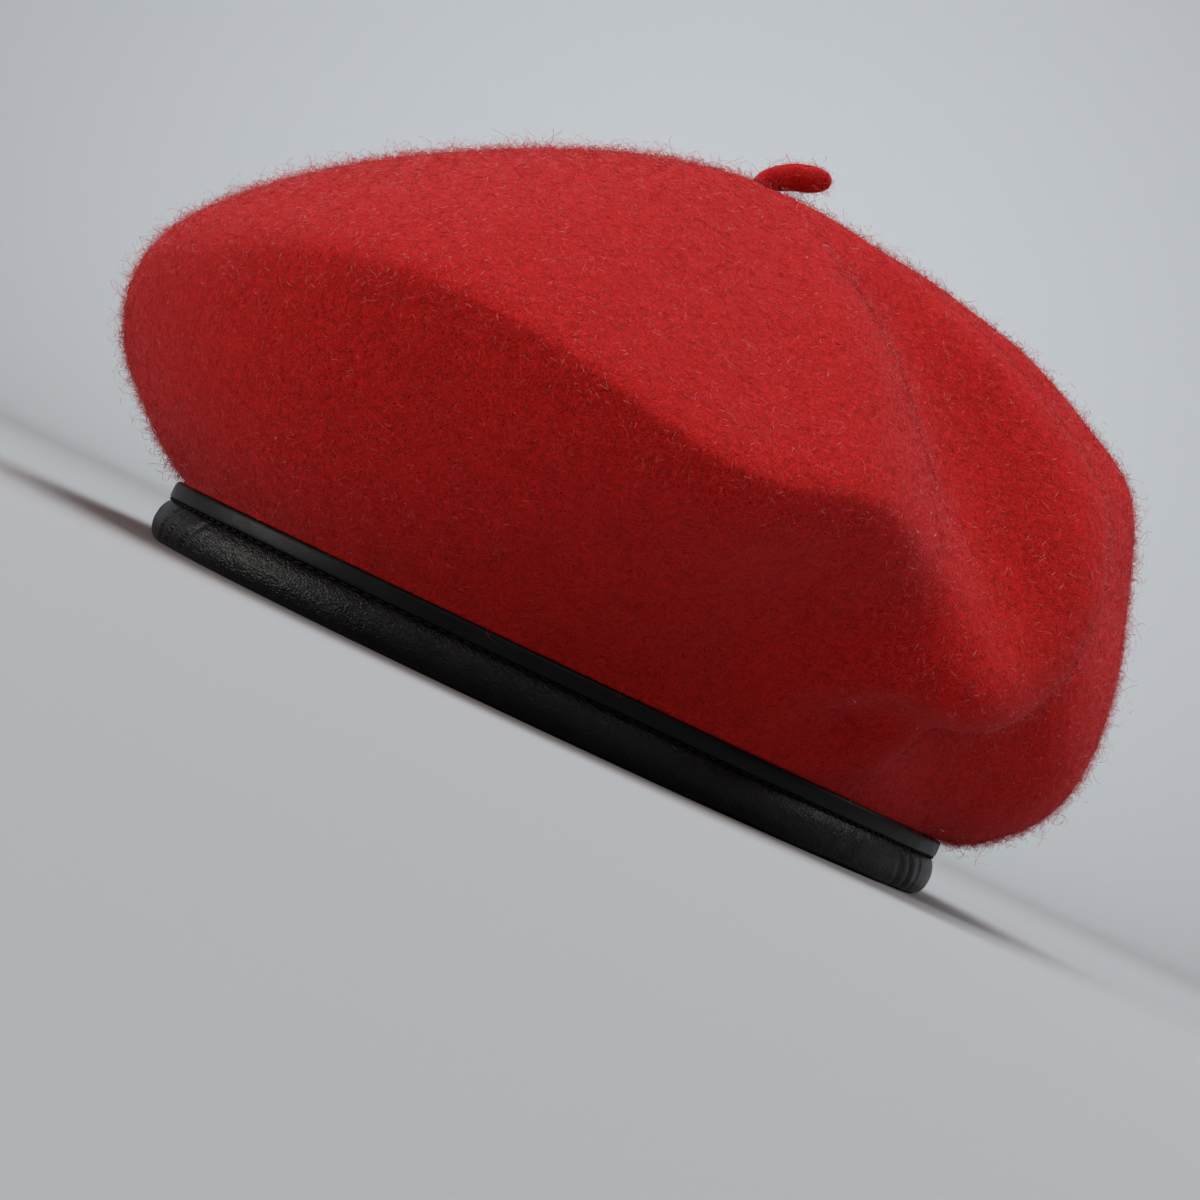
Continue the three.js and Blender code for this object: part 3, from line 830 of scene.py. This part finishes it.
def fibre_tree(name, shapes, steps):
    """Scatters bent fibres over a surface, each made in a number of steps from one of shapes."""
    tree, given, result = geometry_tree(name, FIBRE_INPUTS)
    half = arithmetic(tree, "MULTIPLY", given["Width"], 0.5)
    profile = wire(tree, "GeometryNodeCurvePrimitiveLine", {
        "Start": scaled(tree, (0, -1, 0), half), "End": scaled(tree, (0, 1, 0), half)})
    kinds = wire(tree, "GeometryNodeJoinGeometry")
    for first, second, end in shapes:
        curve = wire(tree, "GeometryNodeCurvePrimitiveBezierSegment", {
            "Resolution": steps, "Start": (0, 0, 0),
            "Start Handle": scaled(tree, first, given["Length"]),
            "End Handle": scaled(tree, second, given["Length"]),
            "End": scaled(tree, end, given["Length"])})
        ribbon = wire(tree, "GeometryNodeCurveToMesh", {
            "Curve": curve.outputs["Curve"], "Profile Curve": profile.outputs["Curve"]})
        kind = wire(tree, "GeometryNodeGeometryToInstance", {"Geometry": ribbon.outputs["Mesh"]})
        tree.links.new(kind.outputs["Instances"], kinds.inputs["Geometry"])
    scatter = wire(tree, "GeometryNodeDistributePointsOnFaces", {
        "Mesh": given["Geometry"], "Density": given["Density"], "Seed": given["Seed"]})
    below = arithmetic(tree, "MULTIPLY", given["Sink"], -1.0)
    sunk = scaled(tree, scatter.outputs["Normal"], below)
    rooted = wire(tree, "GeometryNodeSetPosition", {
        "Geometry": scatter.outputs["Points"], "Offset": sunk})
    turn = wire(tree, "FunctionNodeAxisAngleToRotation", {
        "Axis": (0, 0, 1), "Angle": random_value(tree, "FLOAT", 0.0, 2 * math.pi, 1)})
    angle = random_value(tree, "FLOAT", given["Least lean"], given["Most lean"], 2)
    lean = wire(tree, "FunctionNodeAxisAngleToRotation", {"Axis": (0, -1, 0), "Angle": angle})
    turned = wire(tree, "FunctionNodeRotateRotation", {
        "Rotation": scatter.outputs["Rotation"], "Rotate By": turn.outputs["Rotation"]},
        rotation_space="LOCAL")
    leaning = wire(tree, "FunctionNodeRotateRotation", {
        "Rotation": turned.outputs["Rotation"], "Rotate By": lean.outputs["Rotation"]},
        rotation_space="LOCAL")
    fibres = wire(tree, "GeometryNodeInstanceOnPoints", {
        "Points": rooted.outputs["Geometry"], "Instance": kinds.outputs["Geometry"],
        "Pick Instance": True,
        "Instance Index": random_value(tree, "INT", 0, len(shapes) - 1, 3),
        "Rotation": leaning.outputs["Rotation"],
        "Scale": random_value(tree, "FLOAT", *FIBRE_SIZES, 4)})
    set_result(tree, fibres.outputs["Instances"], given["Material"], result)
    return tree


# Shapes of fibres: first handle, second handle and end, as shares of the fibre's length
LYING_SHAPES = [
    ((0.3, 0.15, 0.14), (0.6, -0.25, 0.14), (0.9, 0.1, -0.02)),
    ((0.2, 0.4, 0.1), (0.6, 0.45, 0.16), (0.75, 0.0, -0.03)),
    ((0.4, -0.3, 0.12), (0.2, -0.6, 0.18), (-0.1, -0.4, 0.0)),
    ((0.35, -0.1, 0.2), (0.75, 0.3, 0.05), (0.8, 0.5, -0.02)),
    ((0.1, 0.3, 0.16), (0.7, 0.5, 0.1), (0.5, -0.1, 0.1)),
    ((0.5, 0.05, 0.1), (0.8, -0.2, 0.2), (0.6, -0.5, 0.02)),
]
CURLED_SHAPES = [
    ((0.5, 0.3, 0.0), (0.9, -0.4, 0.3), (0.4, -0.2, 0.5)),
    ((0.6, -0.3, 0.1), (0.8, 0.6, 0.0), (1.0, 0.1, -0.2)),
    ((0.4, 0.5, -0.1), (1.1, 0.4, 0.2), (0.7, -0.3, 0.1)),
    ((0.7, 0.0, 0.3), (0.6, -0.6, -0.1), (0.2, -0.1, 0.2)),
    ((0.3, -0.5, 0.2), (0.9, -0.5, -0.2), (1.0, 0.2, 0.1)),
]


def fibre_values(length, width, least_lean, most_lean, sink):
    """Inputs of a fibre tree, from millimetres and degrees."""
    return {"Length": length * MM, "Width": width * MM, "Least lean": math.radians(least_lean),
            "Most lean": math.radians(most_lean), "Sink": sink * MM}


def add_fibres(base):
    """The felt's nap and its shorter down, in two shades each, and curls that stand off it."""
    nap_tree = fibre_tree("felt_nap", LYING_SHAPES, 2)
    down_tree = fibre_tree("short_down", CURLED_SHAPES, 2)
    curl_tree = fibre_tree("stray_curls", CURLED_SHAPES, 5)
    nap = fibre_values(length=2.4, width=0.07, least_lean=-4, most_lean=20, sink=0.12)
    down = fibre_values(length=2.2, width=0.06, least_lean=15, most_lean=80, sink=0.15)
    curls = fibre_values(length=4.6, width=0.045, least_lean=15, most_lean=75, sink=0.2)
    # Name, tree, values, fibres for each square metre, seed and colour
    batches = [
        ("nap_deep", nap_tree, nap, 230000.0, 1, (0.33, 0.002, 0.002)),
        ("nap_light", nap_tree, nap, 230000.0, 2, (0.52, 0.006, 0.006)),
        ("down_deep", down_tree, down, 400000.0, 3, (0.44, 0.004, 0.004)),
        ("down_light", down_tree, down, 400000.0, 5, (0.62, 0.012, 0.012)),
        ("stray_curls", curl_tree, curls, 95000.0, 4, (0.52, 0.01, 0.011)),
    ]
    pieces = []
    for name, tree, values, density, seed, colour in batches:
        material = fibre_material(name + "_wool", colour)
        values = {**values, "Density": density, "Seed": seed, "Material": material}
        pieces.append(grow(base, tree, name, values))
    return pieces


# Rings at the stalk's root on which no fibres grow
BARE_RINGS = 6


def add_fibre_base():
    """What the fibres grow on: the felt's outside over the strip, and the stalk."""
    rows = len(outside) - 1
    points = [*outside[1:].reshape(-1, 3)]
    faces = grid_faces(rows, CROWN_COLUMNS)
    rings = stalk_rings()[0][BARE_RINGS:]
    faces += grid_faces(len(rings), STALK_SIDES, len(points))
    points += [*rings.reshape(-1, 3)]
    return add_piece("fibre_base", points, faces, None)


def stitch_tree():
    tree, given, result = geometry_tree("groove_stitches", [
        ("Pitch", "NodeSocketFloat"), ("Length", "NodeSocketFloat"),
        ("Thickness", "NodeSocketFloat"), ("Material", "NodeSocketMaterial")])
    path = wire(tree, "GeometryNodeMeshToCurve", {"Mesh": given["Geometry"]})
    spaced = wire(tree, "GeometryNodeResampleCurve", {
        "Curve": path.outputs["Curve"], "Length": given["Pitch"]}, mode="LENGTH")
    bead = wire(tree, "GeometryNodeMeshUVSphere", {"Segments": 8, "Rings": 6, "Radius": 0.5})
    size = wire(tree, "ShaderNodeCombineXYZ", {
        "X": given["Length"], "Y": given["Thickness"], "Z": given["Thickness"]})
    thread = wire(tree, "GeometryNodeTransform", {
        "Geometry": bead.outputs["Mesh"], "Scale": size.outputs["Vector"]})
    tangent = wire(tree, "GeometryNodeInputTangent")
    turned = wire(tree, "FunctionNodeAlignRotationToVector", {
        "Vector": tangent.outputs["Tangent"]}, axis="X")
    placed = wire(tree, "GeometryNodeInstanceOnPoints", {
        "Points": spaced.outputs["Curve"], "Instance": thread.outputs["Geometry"],
        "Rotation": turned.outputs["Rotation"]})
    set_result(tree, placed.outputs["Instances"], given["Material"], result)
    return tree


def thread_material():
    material, tree, shader = new_material("black_thread")
    set_values(shader, {"Roughness": 0.7, "Specular IOR Level": 0.1})
    place = wire(tree, "ShaderNodeTexCoord").outputs["Object"]
    twist = wire(tree, "ShaderNodeTexNoise", {"Vector": place, "Scale": 4000.0, "Detail": 1.0})
    colour = mix_colours(tree, twist.outputs["Fac"], (0.002, 0.002, 0.002), (0.01, 0.01, 0.01))
    tree.links.new(colour, shader.inputs["Base Color"])
    return material


STITCH_LENGTH = 2.2
STITCH_THICKNESS = 0.5
# The stitches' places: in from the roll's outside, and up from its top
STITCH_IN = 1.25
STITCH_UP = 0.1


def add_stitches():
    """A row of thread stitches in the groove between the strip and the roll."""
    ring = polar(BAND_TURNS, band_radius(BAND_TURNS) - STITCH_IN, ROLL_TOP + STITCH_UP)
    mesh = bpy.data.meshes.new("groove_line")
    edges = [(i, (i + 1) % len(ring)) for i in range(len(ring))]
    mesh.from_pydata((ring * MM + BAND_MIDDLE).tolist(), edges, [])
    line = bpy.data.objects.new("groove_line", mesh)
    stitches = grow(line, stitch_tree(), "groove_stitches", {
        "Pitch": STITCH_PITCH * MM, "Length": STITCH_LENGTH * MM,
        "Thickness": STITCH_THICKNESS * MM, "Material": thread_material()})
    bpy.data.objects.remove(line)
    return stitches


LINT_SHAPES = [
    ((0.3, 0.3, 0.1), (0.6, -0.3, 0.2), (0.9, 0.1, 0.05)),
    ((0.4, -0.4, 0.2), (0.3, 0.4, 0.1), (0.1, 0.1, 0.1)),
]


def add_lint(base):
    """A few pale specks caught in the wool."""
    specks = fibre_values(length=1.3, width=0.22, least_lean=0, most_lean=20, sink=-0.35)
    material = fibre_material("pale_lint", (0.62, 0.5, 0.47))
    return grow(base, fibre_tree("lint", LINT_SHAPES, 6), "lint_specks", {
        **specks, "Density": 500.0, "Seed": 9, "Material": material})


# The stage: a pale floor that curves up far away, soft light and the camera

PALE_GREY = (0.375, 0.378, 0.382, 1)


def pale_material():
    material, _, shader = new_material("pale_backdrop")
    set_values(shader, {"Roughness": 0.9, "Specular IOR Level": 0.1, "Base Color": PALE_GREY})
    return material


# Radius of the floor's flat part and of the curve that rises round it, in metres
FLOOR_FLAT = 1.3
FLOOR_RISE = 1.3
FLOOR_SIDES = 96
FLOOR_RINGS = 20


def add_floor():
    turns = np.arange(FLOOR_SIDES) * 360 / FLOOR_SIDES
    bend = np.linspace(0, math.pi / 2, FLOOR_RINGS)
    radius = np.concatenate([[FLOOR_FLAT / 2], FLOOR_FLAT + FLOOR_RISE * np.sin(bend)]) / MM
    height = np.concatenate([[0], FLOOR_RISE * (1 - np.cos(bend))]) / MM
    rings = polar(turns[None], radius[:, None], height[:, None])[:, ::-1]
    faces = grid_faces(len(rings), FLOOR_SIDES) + [list(range(FLOOR_SIDES))[::-1]]
    return add_piece("floor", rings.reshape(-1, 3), faces, pale_material())


# The camera stands low, in this direction from the band's middle, and is rolled. Angles are in
# degrees, distances in metres and the sensor's width in millimetres.
VIEW_DIRECTION = 62
VIEW_DISTANCE = 0.650
VIEW_HEIGHT = 0.018
VIEW_ROLL = 25.4
TARGET_HEIGHT = 0.031
FOCAL_PIXELS = 2760
PICTURE_PIXELS = 1200
SENSOR = 36.0

view_turn = math.radians(VIEW_DIRECTION)
UP = Vector((0, 0, 1))
TOWARDS_CAMERA = Vector((math.sin(view_turn), -math.cos(view_turn), 0))
PICTURE_RIGHT = Vector((math.cos(view_turn), math.sin(view_turn), 0))
MIDDLE = Vector(BAND_MIDDLE)


def add_camera():
    data = bpy.data.cameras.new("camera")
    data.sensor_width = SENSOR
    data.lens = SENSOR * FOCAL_PIXELS / PICTURE_PIXELS
    data.clip_start = 0.01
    camera = bpy.data.objects.new("camera", data)
    bpy.context.collection.objects.link(camera)
    target = MIDDLE + UP * TARGET_HEIGHT
    place = MIDDLE + TOWARDS_CAMERA * VIEW_DISTANCE + UP * VIEW_HEIGHT
    forward = (target - place).normalized()
    right = forward.cross(UP).normalized()
    up = right.cross(forward)
    roll = math.radians(VIEW_ROLL)
    rolled_right = right * math.cos(roll) + up * math.sin(roll)
    rolled_up = up * math.cos(roll) - right * math.sin(roll)
    camera.matrix_world = Matrix((rolled_right, rolled_up, -forward)).transposed().to_4x4()
    camera.location = place
    bpy.context.scene.camera = camera


def add_light(name, towards, distance, size, power, colour, target=MIDDLE, spread=180):
    """A soft light of size (width, height) in metres and power in watts, turned to its target."""
    data = bpy.data.lights.new(name, "AREA")
    data.shape = "RECTANGLE"
    data.size, data.size_y = size
    data.energy = power
    data.color = colour
    data.spread = math.radians(spread)
    light = bpy.data.objects.new(name, data)
    bpy.context.collection.objects.link(light)
    light.location = MIDDLE + towards.normalized() * distance
    light.rotation_euler = (target - light.location).to_track_quat("-Z", "Y").to_euler()


COOL = (0.92, 0.96, 1.0)
NEUTRAL = (1.0, 0.98, 0.95)
WARM = (1.0, 0.95, 0.86)


def add_lights():
    world = bpy.data.worlds.new("soft_room")
    bpy.context.scene.world = world
    world.use_nodes = True
    background = world.node_tree.nodes["Background"]
    set_values(background, {"Color": (*WARM, 1), "Strength": 0.05})
    backdrop = MIDDLE - TOWARDS_CAMERA * 2.4 + UP * 0.6
    add_light("backdrop_wash", -TOWARDS_CAMERA * 0.7 + UP * 1.5, distance=1.65, size=(1.0, 1.0),
              power=17, colour=COOL, target=backdrop, spread=110)
    add_light("overhead", UP, distance=1.8, size=(1.2, 1.2), power=32, colour=COOL)
    add_light("over_the_camera", UP * 0.7 + TOWARDS_CAMERA * 0.75, distance=1.5, size=(2.0, 0.3),
              power=3.4, colour=NEUTRAL)
    add_light("from_right", UP * 0.75 + PICTURE_RIGHT * 0.65 - TOWARDS_CAMERA * 0.1, distance=1.5,
              size=(0.8, 0.8), power=6.5, colour=COOL)
    add_light("from_left", UP * 0.05 - PICTURE_RIGHT * 0.95 + TOWARDS_CAMERA * 0.25, distance=1.5,
              size=(0.9, 0.9), power=16.5, colour=NEUTRAL)
    add_light("high_left", UP * 0.6 - PICTURE_RIGHT * 0.75 + TOWARDS_CAMERA * 0.45, distance=1.5,
              size=(0.35, 0.35), power=0.75, colour=COOL)


add_camera()
crown = add_crown()
stalk = add_stalk()
roll = add_roll()
strip = add_strip()
fibre_base = add_fibre_base()
fibres = add_fibres(fibre_base)
lint = add_lint(fibre_base)
bpy.data.objects.remove(fibre_base)
stitches = add_stitches()
floor = add_floor()
add_lights()
bpy.context.scene.view_settings.view_transform = "Standard"

for piece, node in ((crown, "crown"), (stalk, "stalk"), (roll, "band_roll"), (strip, "band_strip")):
    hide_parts(node)
for piece in (crown, stalk, lint, *fibres):
    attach(piece, "root")
for piece in (roll, strip, stitches):
    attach(piece, "root")
